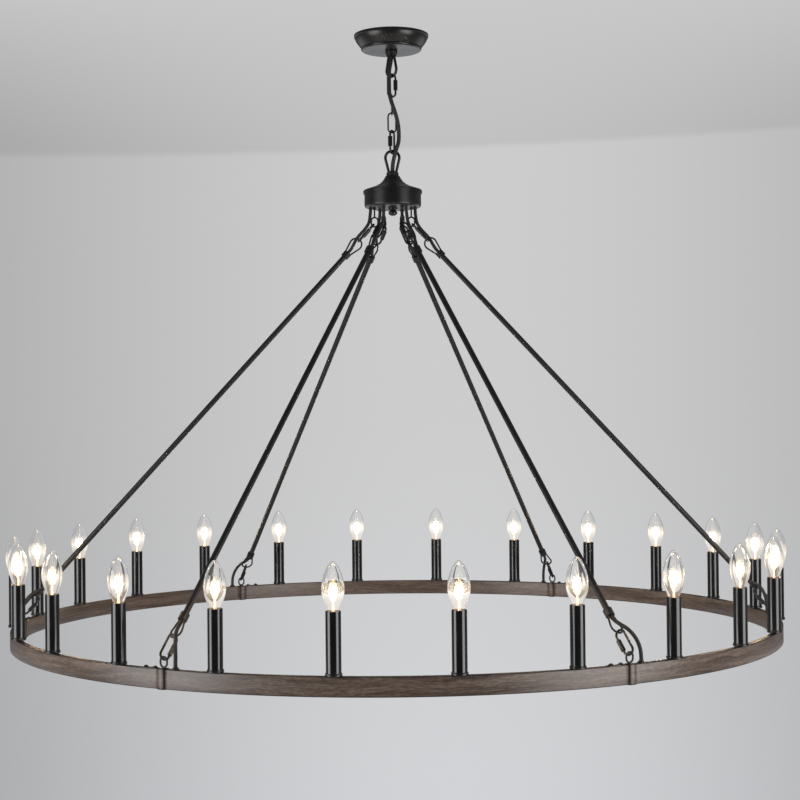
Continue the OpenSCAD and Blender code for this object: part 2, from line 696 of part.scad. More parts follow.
// An eye on a riveted shank, across the rod's pull
module joint_eyes() {
    bottom = ring_top_z + band_wall;
    tail = ring_top_z - ring_wall - 1.6;
    color(metal) for (i = [0 : rod_count - 1]) at_rod(i) translate([ring_r, 0, 0]) {
        translate([0, 0, bottom + eye_h / 2]) rotate([0, 0, 90]) wire_link(eye_h, eye_w, eye_wire);
        translate([0, 0, tail]) cylinder(h = bottom + eye_wire / 2 - tail, d = eye_wire);
        translate([0, 0, tail]) cylinder(h = 1.5, d = eye_wire + 3.2);
    }
}

module joint_screws() {
    plate_len = screw_far - screw_near + 12;
    r = screw_head_d / 2;
    bulge = (r * r + screw_head_h * screw_head_h) / (2 * screw_head_h);
    color(metal) for (i = [0 : rod_count - 1]) at_rod(i) {
        for (a = [screw_near, screw_far]) along_ring(-a) {
            translate([0, 0, plate_t]) intersection() {
                translate([0, 0, screw_head_h - bulge]) sphere(r = bulge);
                cylinder(h = screw_head_h + 1, r = r);
            }
            translate([0, 0, plate_t - screw_len]) cylinder(h = screw_len + 0.5, d = screw_d);
        }
        along_ring(-(screw_near + screw_far) / 2) difference() {
            translate([-ring_w / 2 + 1.5, -plate_len / 2, 0]) cube([ring_w - 3, plate_len, plate_t]);
            for (a = [-1, 1]) translate([0, a * (screw_far - screw_near) / 2, -1]) cylinder(h = plate_t + 2, d = screw_d + 8 * fit);
        }
    }
}

module cable_glands() {
    neck = gland_neck_d;
    foot = gland_foot_d;
    color(metal) for (i = [0 : rod_count - 1]) at_rod(i) translate([ring_r, gland_along, ring_top_z]) difference() {
        union() {
            rotate_extrude() polygon(concat([[0, 0], [foot / 2, 0], [foot / 2, 1]],
                bezier([foot / 2 - 0.6, 1.4], [neck / 2 + 0.6, 1.6], [neck / 2, 2], [neck / 2, gland_h - 0.6], 5),
                [[neck / 2 - 0.6, gland_h], [0, gland_h]]));
            translate([0, 0, -ring_wall - 3]) cylinder(h = ring_wall + 4, d = neck);
        }
        translate([0, 0, -ring_wall - 4]) cylinder(h = gland_h + ring_wall + 5, d = rod_cord_d + 2 * fit);
    }
}

module candle_cups() {
    inner = sleeve_d / 2 + fit;
    outer = inner + cup_wall;
    color(metal) at_lights() rotate_extrude() polygon([[holder_nipple_d / 2 + fit, 0], [outer - 1, 0], [outer, 1.1], [outer, cup_h - 1.6],
        [outer - 0.7, cup_h], [inner, cup_h], [inner, cup_floor], [holder_nipple_d / 2 + fit, cup_floor]]);
}

module candle_sleeves() {
    color(metal) at_lights() translate([0, 0, cup_floor]) tube(sleeve_d, sleeve_d - 2 * sleeve_wall, sleeve_top - cup_floor);
}

// A screw shell on a strap, which stands on the nut of its threaded nipple
module lamp_holders() {
    nut_t = 2;
    floor_t = 2;
    contact = 2;
    base_bottom = sleeve_top - glass_sink - base_len - contact;
    shell_z = base_bottom - floor_t;
    color("ivory") at_lights() {
        difference() {
            union() {
                translate([0, 0, -ring_wall - 4]) cylinder(h = ring_wall + 4 + cup_floor + 0.5, d = holder_nipple_d);
                translate([0, 0, cup_floor]) cylinder(h = nut_t, d = holder_nipple_d + 5);
            }
            translate([0, 0, -ring_wall - 5]) cylinder(h = ring_wall + cup_floor + 8, d = 5);
        }
        translate([-strap_w / 2, 5 / 2 + 0.4, cup_floor + nut_t - 0.5]) cube([strap_w, strap_t, shell_z - cup_floor - nut_t + 1]);
        translate([0, 0, shell_z]) difference() {
            cylinder(h = holder_len, d = holder_d);
            translate([0, 0, floor_t]) cylinder(h = holder_len, d = base_d + 0.8);
        }
    }
}

module bulb_bases() {
    contact = 2;
    color("gold") at_lights() translate([0, 0, sleeve_top - glass_sink]) {
        translate([0, 0, -base_len]) cylinder(h = base_len, d = base_d);
        translate([0, 0, -base_len - contact + fit]) cylinder(h = contact, d = 4);
        translate([0, 0, -1.5]) cylinder(h = 1.5, d = glass_neck_d);
    }
}

// The bulb's outline above its neck, drawn in by a wall, from the sleeve's top
function glass_side(inset) = let (r = bulb_d / 2 - inset, n = glass_neck_d / 2 - inset, top = bulb_h - inset)
    concat(bezier([n, -glass_sink], [n + 1.5, bulb_wide_h * 0.1], [r, bulb_wide_h * 0.5], [r, bulb_wide_h], 8),
        [for (p = bezier([r, bulb_wide_h], [r, bulb_wide_h + (top - bulb_wide_h) * 0.5], [6.5, top], [0, top], 10)) if (p[1] > bulb_wide_h) p]);

module bulb_glasses() {
    outer = glass_side(0);
    inner = glass_side(glass_wall);
    color([1, 0.9, 0.75, 0.35]) at_lights() translate([0, 0, sleeve_top]) rotate_extrude()
        polygon(concat(outer, [for (i = [len(inner) - 1 : -1 : 0]) inner[i]]));
}

// The glass stem with its four glowing sticks
module bulb_filaments() {
    stem_h = 27;
    color("orange") at_lights() translate([0, 0, sleeve_top - glass_sink]) {
        cylinder(h = stem_h, d1 = 7, d2 = 3.6);
        for (a = [45 : 90 : 315]) rotate([0, 0, a]) bar([1.2, 0, stem_h - 1.5], [5, 0, stem_h + stick_len], 1.7);
    }
}

canopy();
crossbar();
crossbar_nut();
canopy_nipple();
canopy_collar();
canopy_loop();
top_quick_link();
upper_chain_link();
lower_chain_link();
bottom_quick_link();
for (n = [1 : 5]) power_cord(n);
hub_loop();
hub_collar();
hub_lid();
hub_drum();
hub_stem();
hub_finial();
hub_hooks();
hub_hook_nuts();
hub_bushings();
wire_connectors();
ring_segments();
joint_bands();
joint_eyes();
joint_screws();
cable_glands();
candle_cups();
candle_sleeves();
lamp_holders();
bulb_bases();
bulb_glasses();
bulb_filaments();
for (i = [0 : rod_count - 1]) {
    rod_tube(i);
    rod_bails(i);
    rod_quick_links(i);
    rod_cord(i);
}
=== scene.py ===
"""Looks of the wagon wheel chandelier: a wood-printed ring with candle lights, six rods and a chain."""

import json
import math

import bmesh
import bpy
from mathutils import Matrix, Vector

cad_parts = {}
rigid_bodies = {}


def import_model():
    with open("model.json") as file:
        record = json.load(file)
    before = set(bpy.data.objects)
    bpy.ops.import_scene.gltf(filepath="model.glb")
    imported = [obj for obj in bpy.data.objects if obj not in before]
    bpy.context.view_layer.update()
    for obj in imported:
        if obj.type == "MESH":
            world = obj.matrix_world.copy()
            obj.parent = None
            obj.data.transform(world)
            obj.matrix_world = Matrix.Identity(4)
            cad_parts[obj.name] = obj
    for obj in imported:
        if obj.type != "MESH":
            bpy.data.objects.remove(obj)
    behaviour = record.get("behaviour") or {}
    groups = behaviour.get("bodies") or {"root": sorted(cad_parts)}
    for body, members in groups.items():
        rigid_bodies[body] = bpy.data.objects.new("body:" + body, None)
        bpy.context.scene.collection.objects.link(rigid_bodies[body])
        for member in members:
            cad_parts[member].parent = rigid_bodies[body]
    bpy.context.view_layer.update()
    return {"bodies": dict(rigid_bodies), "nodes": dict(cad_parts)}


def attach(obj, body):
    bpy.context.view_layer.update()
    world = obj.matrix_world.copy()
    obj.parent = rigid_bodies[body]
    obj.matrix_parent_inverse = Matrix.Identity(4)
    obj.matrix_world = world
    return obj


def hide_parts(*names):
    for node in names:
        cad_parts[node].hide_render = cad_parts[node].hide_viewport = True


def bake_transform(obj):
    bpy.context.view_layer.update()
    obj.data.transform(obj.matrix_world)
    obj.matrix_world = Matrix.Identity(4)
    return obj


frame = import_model()
scene = bpy.context.scene
scene.view_settings.view_transform = "Standard"

# ---- Camera ----
# It stands level with the tips of the bulbs, a little over three metres from the axis, and leans
# less than half a degree, as the photograph's camera did.
camera_place = (0.0044, -3.257, -0.7755)
turned_left, tipped_up, rolled = -0.0019, 0.01225, -0.0099
cam_data = bpy.data.cameras.new("camera")
cam_data.sensor_width = 36
cam_data.lens = 72.87
camera = bpy.data.objects.new("camera", cam_data)
scene.collection.objects.link(camera)
camera.matrix_world = (
    Matrix.Translation(camera_place)
    @ Matrix.Rotation(turned_left, 4, "Z")
    @ Matrix.Rotation(math.pi / 2 + tipped_up, 4, "X")
    @ Matrix.Rotation(rolled, 4, "Z")
)
scene.camera = camera

# ---- Cord jacket ----
# The round black cord has a fine braided jacket of two strands that cross. It is drawn from the
# tube's own coordinates: U once round it, and V along it, counted in diameters.


def new_material(name):
    material = bpy.data.materials.new(name)
    material.use_nodes = True
    return material.node_tree, material.node_tree.nodes["Principled BSDF"], material


def add(tree, kind, *values, **settings):
    """A shader node whose inputs take the values in order: numbers, colours or another node's output."""
    made = tree.nodes.new("ShaderNode" + kind)
    for name, setting in settings.items():
        setattr(made, name, setting)
    plug(tree, made, dict(enumerate(values)))
    return made


def plug(tree, made, values):
    """Sets or links a node's inputs, given by name or by number."""
    for socket, value in values.items():
        if value is None:
            continue
        if isinstance(value, bpy.types.NodeSocket):
            tree.links.new(value, made.inputs[socket])
        else:
            made.inputs[socket].default_value = value


def calc(tree, operation, *values, clamp=False):
    return add(tree, "Math", *values, operation=operation, use_clamp=clamp).outputs[0]


def ramp(tree, factor, *stops):
    """Colours along a factor: each stop is its place and its colour or its grey."""
    made = add(tree, "ValToRGB", factor)
    elements = made.color_ramp.elements
    while len(elements) < len(stops):
        elements.new(0.5)
    for element, (place, colour) in zip(elements, stops):
        element.position = place
        element.color = (*colour, 1) if isinstance(colour, tuple) else (colour, colour, colour, 1)
    return made.outputs[0]


tree, shader, cord_jacket = new_material("braided_cord_jacket")
strands_round, strands_along = 8, 3
tube_place = add(tree, "SeparateXYZ", add(tree, "TexCoord").outputs["UV"])
around = calc(tree, "MULTIPLY", tube_place.outputs[0], 2 * math.pi * strands_round)
along = calc(tree, "MULTIPLY", tube_place.outputs[1], 2 * math.pi * strands_along)
left_strand = calc(tree, "SINE", calc(tree, "ADD", around, along))
right_strand = calc(tree, "SINE", calc(tree, "SUBTRACT", around, along))
braid = calc(tree, "MULTIPLY_ADD", calc(tree, "MAXIMUM", left_strand, right_strand), 0.5, 0.5)
plug(tree, shader, {
    "Base Color": ramp(tree, braid, (0.2, (0.006, 0.006, 0.007)), (0.9, (0.022, 0.022, 0.024))),
    "Normal": add(tree, "Bump", 0.5, 0.0002, None, braid).outputs[0],
    "Roughness": 0.62,
    "Specular IOR Level": 0.35,
})


def smooth_line(points, steps):
    """A smooth line through the points, with that many steps between each two."""
    chords = [b - a for a, b in zip(points, points[1:])]
    ways = [chord.normalized() for chord in chords]
    slopes = [ways[0]]
    for way, next_way, chord, next_chord in zip(ways, ways[1:], chords, chords[1:]):
        both = chord.length + next_chord.length
        slopes.append((way * next_chord.length + next_way * chord.length) / both)
    slopes.append(ways[-1])
    line = []
    for start, chord, leaving, arriving in zip(points, chords, slopes, slopes[1:]):
        for step in range(steps):
            t = step / steps
            bend = (t - 2 * t**2 + t**3) * leaving + (t**3 - t**2) * arriving
            line.append(start + (3 * t**2 - 2 * t**3) * chord + chord.length * bend)
    return [*line, points[-1]]


def piece_from(name, bm, *materials):
    mesh = bpy.data.meshes.new(name)
    bm.to_mesh(mesh)
    bm.free()
    for material in materials:
        mesh.materials.append(material)
    piece = bpy.data.objects.new(name, mesh)
    scene.collection.objects.link(piece)
    return piece


def tube(name, line, diameter, material, first=0, last=None, sides=16):
    """A round tube along a line or one stretch of it, closed at both ends.

    U runs once round it, and V along the whole line in diameters, so stretches of one line meet ring to ring.
    """
    last = len(line) - 1 if last is None else last
    bm = bmesh.new()
    uv_layer = bm.loops.layers.uv.new("UVMap")
    side = (line[1] - line[0]).orthogonal().normalized()
    rings, run = [], 0.0
    for i, point in enumerate(line):
        tangent = (line[min(i + 1, len(line) - 1)] - line[max(i - 1, 0)]).normalized()
        side = (side - side.dot(tangent) * tangent).normalized()
        other = tangent.cross(side)
        run += (point - line[max(i - 1, 0)]).length / diameter
        if first <= i <= last:
            turns = (2 * math.pi * k / sides for k in range(sides))
            spokes = (math.cos(a) * side + math.sin(a) * other for a in turns)
            rings.append(([bm.verts.new(point + diameter / 2 * spoke) for spoke in spokes], run))
    for (ring, v), (next_ring, next_v) in zip(rings, rings[1:]):
        for k in range(sides):
            n = (k + 1) % sides
            face = bm.faces.new((ring[k], ring[n], next_ring[n], next_ring[k]))
            face.smooth = True
            places = ((k, v), (k + 1, v), (k + 1, next_v), (k, next_v))
            for loop, (u, along_line) in zip(face.loops, places):
                loop[uv_layer].uv = (u / sides, along_line)
    bm.faces.new(list(reversed(rings[0][0])))
    bm.faces.new(rings[-1][0])
    return piece_from(name, bm, material)


def millimetres(points):
    return [Vector(p) / 1000 for p in points]


# ---- Power cord ----
# It comes down through the canopy's nipple, out in front of the chain, round to its right and down
# through the hub's loop into the stem. Five stretches, one for each piece of the chain.
power_d = 0.008
power_route = millimetres([
    (0, 0, -6), (0, 0, -44), (-2, -3, -58), (-4.6, -7.2, -73), (-5, -9, -88), (-5, -10.5, -104),
    (-4.5, -13, -120), (-1, -14.5, -136), (4, -14, -151), (9, -10.5, -167), (12.5, -8, -184),
    (13.5, -6, -200), (12.8, -6.5, -216), (8, -8.5, -232), (4, -7, -246), (1, -2.5, -260),
    (0, 0, -272), (0, 0, -318),
])
power_steps = 6
power_line = smooth_line(power_route, power_steps)
# Each stretch: its first and last point of the route, and the heights between which it bends.
stretches = (
    (0, 4, -0.060, -0.087), (4, 7, -0.106, -0.1355), (7, 10, -0.146, -0.183), (10, 13, -0.190, -0.228),
    (13, 17, -0.234, -0.268),
)


for k, (first, last, bend_from, bend_to) in enumerate(stretches):
    ends = first * power_steps, last * power_steps
    line = power_line[ends[0] : ends[1] + 1]
    cord = tube(f"power_cord_stretch_{k + 1}", power_line, power_d, cord_jacket, *ends)
    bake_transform(cord)
    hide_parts(f"power_cord_{k + 1}")

# ---- Rod cords ----
# One for each rod: out of a bushing under the hub, over the upper quick link, through the rod, out
# of its lower ferrule and down into the gland beside the wheel's joint. Its two stretches meet inside
# the rod: the upper one swings with the rod, and the tail turns with the wheel that it enters.
rod_count = 6
rod_angle = 360 / rod_count
rod_cord_d = 0.0065
hub_floor, ring_top, ring_radius = -348.35, -1171.85, 749
hook_radius, hook_centre, eye_top = 37, -379.65, -1152.5
lean = math.atan2(ring_radius - hook_radius, hook_centre - eye_top)
rod_line_len = math.hypot(ring_radius - hook_radius, hook_centre - eye_top)


def rod_point(s, around, across):
    """A place given along the rod's line from its hook, around the hub, and square to both."""
    return (
        hook_radius + s * math.sin(lean) + across * math.cos(lean),
        around,
        hook_centre - s * math.cos(lean) + across * math.sin(lean),
    )


under_hub = ((45, 4.5, 8), (45, 4.5, -6), (45.9, 5.2, -16), (48.8, 5.7, -31))
over_link = (
    (22.5, 5.8, 6.3), (34, 5.8, 6.3), (43, 5.7, 6.1), (51, 5.3, 5), (60, 3.9, 2.6), (70, 1.4, 0.5),
    (81, 0, 0), (92, 0, 0),
)
out_of_rod = (
    (-164, 0, 0), (-160, 0, 0), (-85, 0, 0), (-74, 0, 0), (-61, 1.5, 2.5), (-51, 4.5, 6), (-39, 10, 10),
)
into_gland = ((-10, 16, 45), (-4, 20.5, 33), (-1, 23, 21), (0, 23.5, 10), (0, 23.5, -8))
drop = [(r, a, hub_floor + z) for r, a, z in under_hub]
beside = [rod_point(*p) for p in over_link]
leave = [rod_point(rod_line_len + s, a, c) for s, a, c in out_of_rod]
to_gland = [(ring_radius + r, a, ring_top + z) for r, a, z in into_gland]
rod_cord_steps = 5
rod_cord_line = smooth_line(millimetres(drop + beside + leave + to_gland), rod_cord_steps)
in_bushing = 3  # the point of the line inside the bushing's mouth, where the cord starts
neck = 0.75  # the jacket narrows there, so that it clears the bushing when the wheel twists
rod_cord_sides = 14
upper_end = len(drop + beside) * rod_cord_steps
tail_start = upper_end + rod_cord_steps
for i in range(rod_count):
    turn = Matrix.Rotation(math.radians(rod_angle * i), 3, "Z")
    line = [turn @ p for p in rod_cord_line]
    stretches = (("rod_cord", in_bushing, upper_end), ("rod_cord_tail", tail_start, len(line) - 1))
    for name, first, last in stretches:
        cord = tube(f"{name}_{i + 1}", line, rod_cord_d, cord_jacket, first, last, rod_cord_sides)
        path = line[first : last + 1]
        if first == tail_start:
            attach(cord, "wheel")
        else:
            for vertex in cord.data.vertices[:rod_cord_sides]:
                vertex.co = path[0].lerp(vertex.co, neck)
            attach(cord, f"rod_{i + 1}")
            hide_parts(f"rod_{i + 1}_cord")

# ---- Black paint ----
# All the black metal is powder coated: a satin black skin with a very fine orange peel, patches
# that are a little duller, and a trace of dust on what faces up.


def new_group(name, inputs, outputs):
    """A shader node group with these inputs and outputs; returns its tree and its two end nodes."""
    group = bpy.data.node_groups.new(name, "ShaderNodeTree")
    for label, value in inputs.items():
        kind = "NodeSocketColor" if isinstance(value, tuple) else "NodeSocketFloat"
        group.interface.new_socket(name=label, in_out="INPUT", socket_type=kind).default_value = value
    for label, kind in outputs.items():
        group.interface.new_socket(name=label, in_out="OUTPUT", socket_type="NodeSocket" + kind)
    return group, group.nodes.new("NodeGroupInput").outputs, group.nodes.new("NodeGroupOutput")


def use_group(tree, group, **values):
    made = add(tree, "Group", node_tree=group)
    plug(tree, made, {name.replace("_", " "): value for name, value in values.items()})
    return made.outputs


def noise(tree, place, scale, *details):
    """Soft noise at a place: its scale, then its detail and its roughness."""
    return add(tree, "TexNoise", place, None, scale, *details).outputs[0]


def mapped(tree, value, *limits):
    """A value taken from one range to another."""
    return add(tree, "MapRange", value, *limits).outputs[0]


def mixed(tree, share, one, other):
    """One colour, with a share of the other over it."""
    made = add(tree, "Mix", data_type="RGBA")
    plug(tree, made, {0: share, 6: one, 7: other})
    return made.outputs[2]


satin_black, dust_grey = (0.008, 0.008, 0.0085, 1), (0.16, 0.155, 0.15, 1)
paint_skin, given, result = new_group(
    "paint_skin",
    {"Colour": satin_black, "Roughness": 0.36, "Peel size": 0.0011, "Dust": 0.25},
    {"Colour": "Color", "Roughness": "Float", "Height": "Float"},
)
place = add(paint_skin, "TexCoord").outputs
peel = noise(paint_skin, place["Object"], calc(paint_skin, "DIVIDE", 1, given["Peel size"]), 2)
patches = noise(paint_skin, place["Object"], 24, 3)
faces_up = add(paint_skin, "SeparateXYZ", place["Normal"]).outputs[2]
settled = mapped(paint_skin, faces_up, 0.55, 1, 0, 1)
specks = ramp(paint_skin, noise(paint_skin, place["Object"], 420, 4), (0.42, 0), (0.75, 1))
dust = calc(paint_skin, "MULTIPLY", calc(paint_skin, "MULTIPLY", settled, specks), given["Dust"])
shade = mapped(paint_skin, patches, 0.3, 0.7, 0.85, 1.2)
toned = add(paint_skin, "VectorMath", given["Colour"], None, None, shade, operation="SCALE").outputs[0]
off_even = calc(paint_skin, "SUBTRACT", patches, 0.5)
rougher = calc(paint_skin, "MULTIPLY_ADD", off_even, 0.22, given["Roughness"])
plug(paint_skin, result, {
    "Colour": mixed(paint_skin, dust, toned, dust_grey),
    "Roughness": calc(paint_skin, "MULTIPLY_ADD", dust, 0.3, rougher),
    "Height": peel,
})


def painted(
    name, colour=satin_black, roughness=0.31, peel_size=0.0011, dust=0.25, bump=0.12, specular=0.45
):
    tree, shader, material = new_material(name)
    skin = use_group(tree, paint_skin, Colour=colour, Roughness=roughness, Peel_size=peel_size, Dust=dust)
    plug(tree, shader, {
        "Base Color": skin["Colour"],
        "Roughness": skin["Roughness"],
        "Normal": add(tree, "Bump", bump, 0.0002, None, skin["Height"]).outputs[0],
        "Specular IOR Level": specular,
    })
    return material


def finish_nodes(material, *names):
    """Gives CAD nodes their material."""
    for name in names:
        for slot in frame["nodes"][name].material_slots:
            slot.material = material


black_paint = painted("black_satin_paint")

# ---- Ceiling canopy ----
# A spun steel pan with a rolled band at the ceiling and a flat underside, held up by a knurled
# screw collar round the barrel of its wire loop.
finish_nodes(black_paint, "canopy", "canopy_collar", "canopy_loop")

# ---- Crossbar ----
# Zinc-plated steel strip with two slots, its nut and the threaded nipple that carries the canopy's
# loop. The plating has a fine spangle and duller patches.
tree, shader, zinc = new_material("zinc_plating")
zinc_place = add(tree, "TexCoord").outputs["Object"]
spangle = add(tree, "TexVoronoi", zinc_place, None, 420).outputs["Color"]
haze = noise(tree, zinc_place, 60, 4)
spangle_grey = add(tree, "RGBToBW", spangle).outputs[0]
plating = calc(tree, "MULTIPLY_ADD", spangle_grey, 0.4, calc(tree, "MULTIPLY", haze, 0.6))
plug(tree, shader, {
    "Base Color": ramp(tree, plating, (0.2, (0.42, 0.42, 0.43)), (0.8, (0.62, 0.62, 0.6))),
    "Roughness": calc(tree, "MULTIPLY_ADD", haze, 0.3, 0.22),
    "Metallic": 1.0,
    "Normal": add(tree, "Bump", 0.08, 0.0003, None, spangle_grey).outputs[0],
})
finish_nodes(zinc, "crossbar", "crossbar_nut", "canopy_nipple")

# ---- Chain ----
# Two quick links with hexagonal sleeve nuts and, between them, two plain links of bent wire, all
# dipped in the same black as the rest.
link_paint = painted("link_paint", roughness=0.33, peel_size=0.0007, bump=0.1)
finish_nodes(link_paint, "top_quick_link", "upper_chain_link", "lower_chain_link", "bottom_quick_link")

# ---- Hub ----
# A spun bell lid laps over a pressed drum. A wire loop with a screw collar stands on it, and a knob
# and six hooks hang under it.
finish_nodes(black_paint, "hub_loop", "hub_collar", "hub_lid", "hub_drum", "hub_finial")
finish_nodes(link_paint, "hub_hooks")

# ---- Inside the hub ----
# A plated stem joins the lid to the drum, plated nuts hold the hooks, the cords pass black plastic
# bushings, and two orange connectors join the wires.
finish_nodes(zinc, "hub_stem", "hub_hook_nuts")
black_plastic = painted(
    "black_plastic", colour=(0.012, 0.012, 0.012, 1), roughness=0.5, peel_size=0.0005, dust=0.1
)
finish_nodes(black_plastic, "hub_bushings")
connector_plastic = painted(
    "connector_plastic", colour=(0.75, 0.2, 0.03, 1), roughness=0.4, peel_size=0.0006, dust=0.05
)
finish_nodes(connector_plastic, "wire_connectors")

# ---- Rods ----
# Thin painted steel tubes, pushed into a ferrule at each end. Each ferrule has a wire bail, which a
# quick link joins to a hook of the hub or to an eye of the ring.
rod_paint = painted("rod_paint", roughness=0.42, peel_size=0.0009, bump=0.06)
for i in range(rod_count):
    finish_nodes(rod_paint, f"rod_{i + 1}_tube", f"rod_{i + 1}_bails")
    finish_nodes(link_paint, f"rod_{i + 1}_quick_links")

# ---- Ring ----
# Six curved lengths of rectangular steel tube with small rounded edges. They are printed with
# weathered wood grain that runs along the ring; a near-black band is painted along the top and bottom edges
# as the shade on the rounded edges.
ring_w, ring_h, ring_round = 13, 32, 1.3


def object_axes(tree):
    """The object's own X, Y and Z, each as an output."""
    return add(tree, "SeparateXYZ", add(tree, "TexCoord").outputs["Object"]).outputs


wood_print, given, result = new_group(
    "wood_print",
    {
        "Light": (0.17, 0.126, 0.1, 1), "Middle": (0.086, 0.058, 0.043, 1),
        # the near-black painted as shade on the tube's rounded top and bottom edges
        "Dark": (0.036, 0.024, 0.018, 1), "Edge shade": (0.013, 0.01, 0.009, 1),
    },
    {"Colour": "Color", "Roughness": "Float", "Height": "Float"},
)
at = object_axes(wood_print)
round_ring = calc(wood_print, "MULTIPLY", calc(wood_print, "ARCTAN2", at[1], at[0]), ring_radius / 1000)
squares = [calc(wood_print, "MULTIPLY", at[axis], at[axis]) for axis in (0, 1)]
radius = calc(wood_print, "SQRT", calc(wood_print, "ADD", *squares))


def stretched(along, across, detail, roughness=0.5, warp=0):
    """Noise drawn out along the ring: its scales per metre along it and across it."""
    x = calc(wood_print, "MULTIPLY", round_ring, along)
    y, z = (calc(wood_print, "MULTIPLY", value, across) for value in (radius, at[2]))
    if warp:
        z = calc(wood_print, "MULTIPLY_ADD", grain_bend, warp, z)
    place = add(wood_print, "CombineXYZ", x, y, z).outputs[0]
    return noise(wood_print, place, 1, detail, roughness)


grain_bend = stretched(9, 26, 1)
fibres = stretched(22, 900, 3, 0.6, 5)
bands = stretched(5, 150, 3, 0.55, 4)
clouds = stretched(4, 24, 2)
pores = ramp(wood_print, stretched(75, 1500, 2, 0.6, 6), (0.6, 0), (0.72, 1))
scuffs = ramp(wood_print, stretched(30, 700, 4, 0.7, 5), (0.6, 0), (0.75, 1))
curls = stretched(95, 380, 2, 0.6, 11)
tone = calc(wood_print, "MULTIPLY", clouds, 0.14)
for layer, share in ((bands, 0.3), (fibres, 0.34), (curls, 0.22)):
    tone = calc(wood_print, "MULTIPLY_ADD", layer, share, tone)
lighter = mixed(wood_print, mapped(wood_print, tone, 0.5, 0.6, 0, 1), given["Middle"], given["Light"])
darker = mixed(wood_print, mapped(wood_print, tone, 0.5, 0.41, 0, 1), lighter, given["Dark"])
pored = mixed(wood_print, calc(wood_print, "MULTIPLY", pores, 0.65), darker, given["Dark"])
scuffed = mixed(wood_print, calc(wood_print, "MULTIPLY", scuffs, 0.4), pored, given["Light"])
# Painted shade: the colour darkens to near black at the top and bottom edges, a little wider at the bottom,
# for the shade on the rounded edges.
print_middle, edge_shade_from, edge_shade_full = ring_top - ring_h / 2 + 0.4, ring_h / 2 - 1.5, ring_h / 2 - 0.8
from_middle = calc(wood_print, "ABSOLUTE", calc(wood_print, "SUBTRACT", at[2], print_middle / 1000))
edge = mapped(wood_print, from_middle, edge_shade_from / 1000, edge_shade_full / 1000, 0, 0.9)
plug(wood_print, result, {
    "Colour": mixed(wood_print, edge, scuffed, given["Edge shade"]),
    "Roughness": calc(wood_print, "MULTIPLY_ADD", tone, 0.35, 0.2),
    "Height": calc(wood_print, "SUBTRACT", tone, calc(wood_print, "MULTIPLY", pores, 0.5)),
})

tree, shader, printed_steel = new_material("wood_printed_steel")
print_out = use_group(tree, wood_print)
plug(tree, shader, {
    "Base Color": print_out["Colour"],
    "Roughness": print_out["Roughness"],
    "Normal": add(tree, "Bump", 0.35, 0.0004, None, print_out["Height"]).outputs[0],
    "Specular IOR Level": 0.5,
})


def round_box(w, h, r, steps):
    """The outline of a box with rounded corners about its own centre."""
    x, y = w / 2 - r, h / 2 - r
    outline = []
    for corner_x, corner_y, start in ((x, y, 0), (-x, y, 90), (-x, -y, 180), (x, -y, 270)):
        for k in range(steps + 1):
            a = math.radians(start + 90 * k / steps)
            outline.append((corner_x + r * math.cos(a), corner_y + r * math.sin(a)))
    return outline


def loft(bm, rings, closed=False):
    """Skins rings of points, with end faces unless the rings close on themselves."""
    made = [[bm.verts.new(Vector(p) / 1000) for p in ring] for ring in rings]
    pairs = list(zip(made, made[1:])) + ([(made[-1], made[0])] if closed else [])
    for a, b in pairs:
        for k in range(len(a)):
            n = (k + 1) % len(a)
            bm.faces.new((a[k], a[n], b[n], b[k])).smooth = True
    if not closed:
        bm.faces.new(list(reversed(made[0])))
        bm.faces.new(made[-1])


ring_outline = round_box(ring_w, ring_h, ring_round, 4)
half_gap, segment_steps = 0.5, 56
gap_turn, ring_middle = half_gap / ring_radius, ring_top - ring_h / 2
bm = bmesh.new()
for i in range(rod_count):
    start, end = math.radians(rod_angle * i) + gap_turn, math.radians(rod_angle * (i + 1)) - gap_turn
    turns = (start + (end - start) * k / segment_steps for k in range(segment_steps + 1))
    loft(bm, [
        [
            ((ring_radius + x) * math.cos(a), (ring_radius + x) * math.sin(a), ring_middle + y)
            for x, y in ring_outline
        ]
        for a in turns
    ])
bmesh.ops.recalc_face_normals(bm, faces=bm.faces)
ring = piece_from("ring_lengths", bm, printed_steel)
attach(ring, "wheel")
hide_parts("ring_segments")

# ---- Joint bands ----
# A printed sheet band is wrapped round the tube over each of the six joints. At one of its ends a
# strip lies lower, where the next length of the ring begins, painted near black as the step's shadow; it
# changes sides from joint to joint.
band_len, band_wall, strip_len, strip_depth = 15, 1, 3.2, 0.55
tree, shader, printed_band = new_material("wood_printed_band")
print_out = use_group(tree, wood_print)
ring_at = object_axes(tree)
ring_turn = calc(tree, "ARCTAN2", ring_at[1], ring_at[0])
past_joint = calc(tree, "ARCSINE", calc(tree, "SINE", calc(tree, "MULTIPLY", ring_turn, rod_count)))
from_joint = calc(tree, "MULTIPLY", past_joint, ring_radius / (rod_count * 1000))
strip_side = calc(tree, "SIGN", calc(tree, "COSINE", calc(tree, "MULTIPLY", ring_turn, rod_count / 2)))
toward_strip = calc(tree, "MULTIPLY", from_joint, strip_side)
strip_edge = (band_len / 2 - strip_len) / 1000
in_step_shadow = mapped(tree, toward_strip, strip_edge - 0.0002, strip_edge + 0.0001, 0, 1)
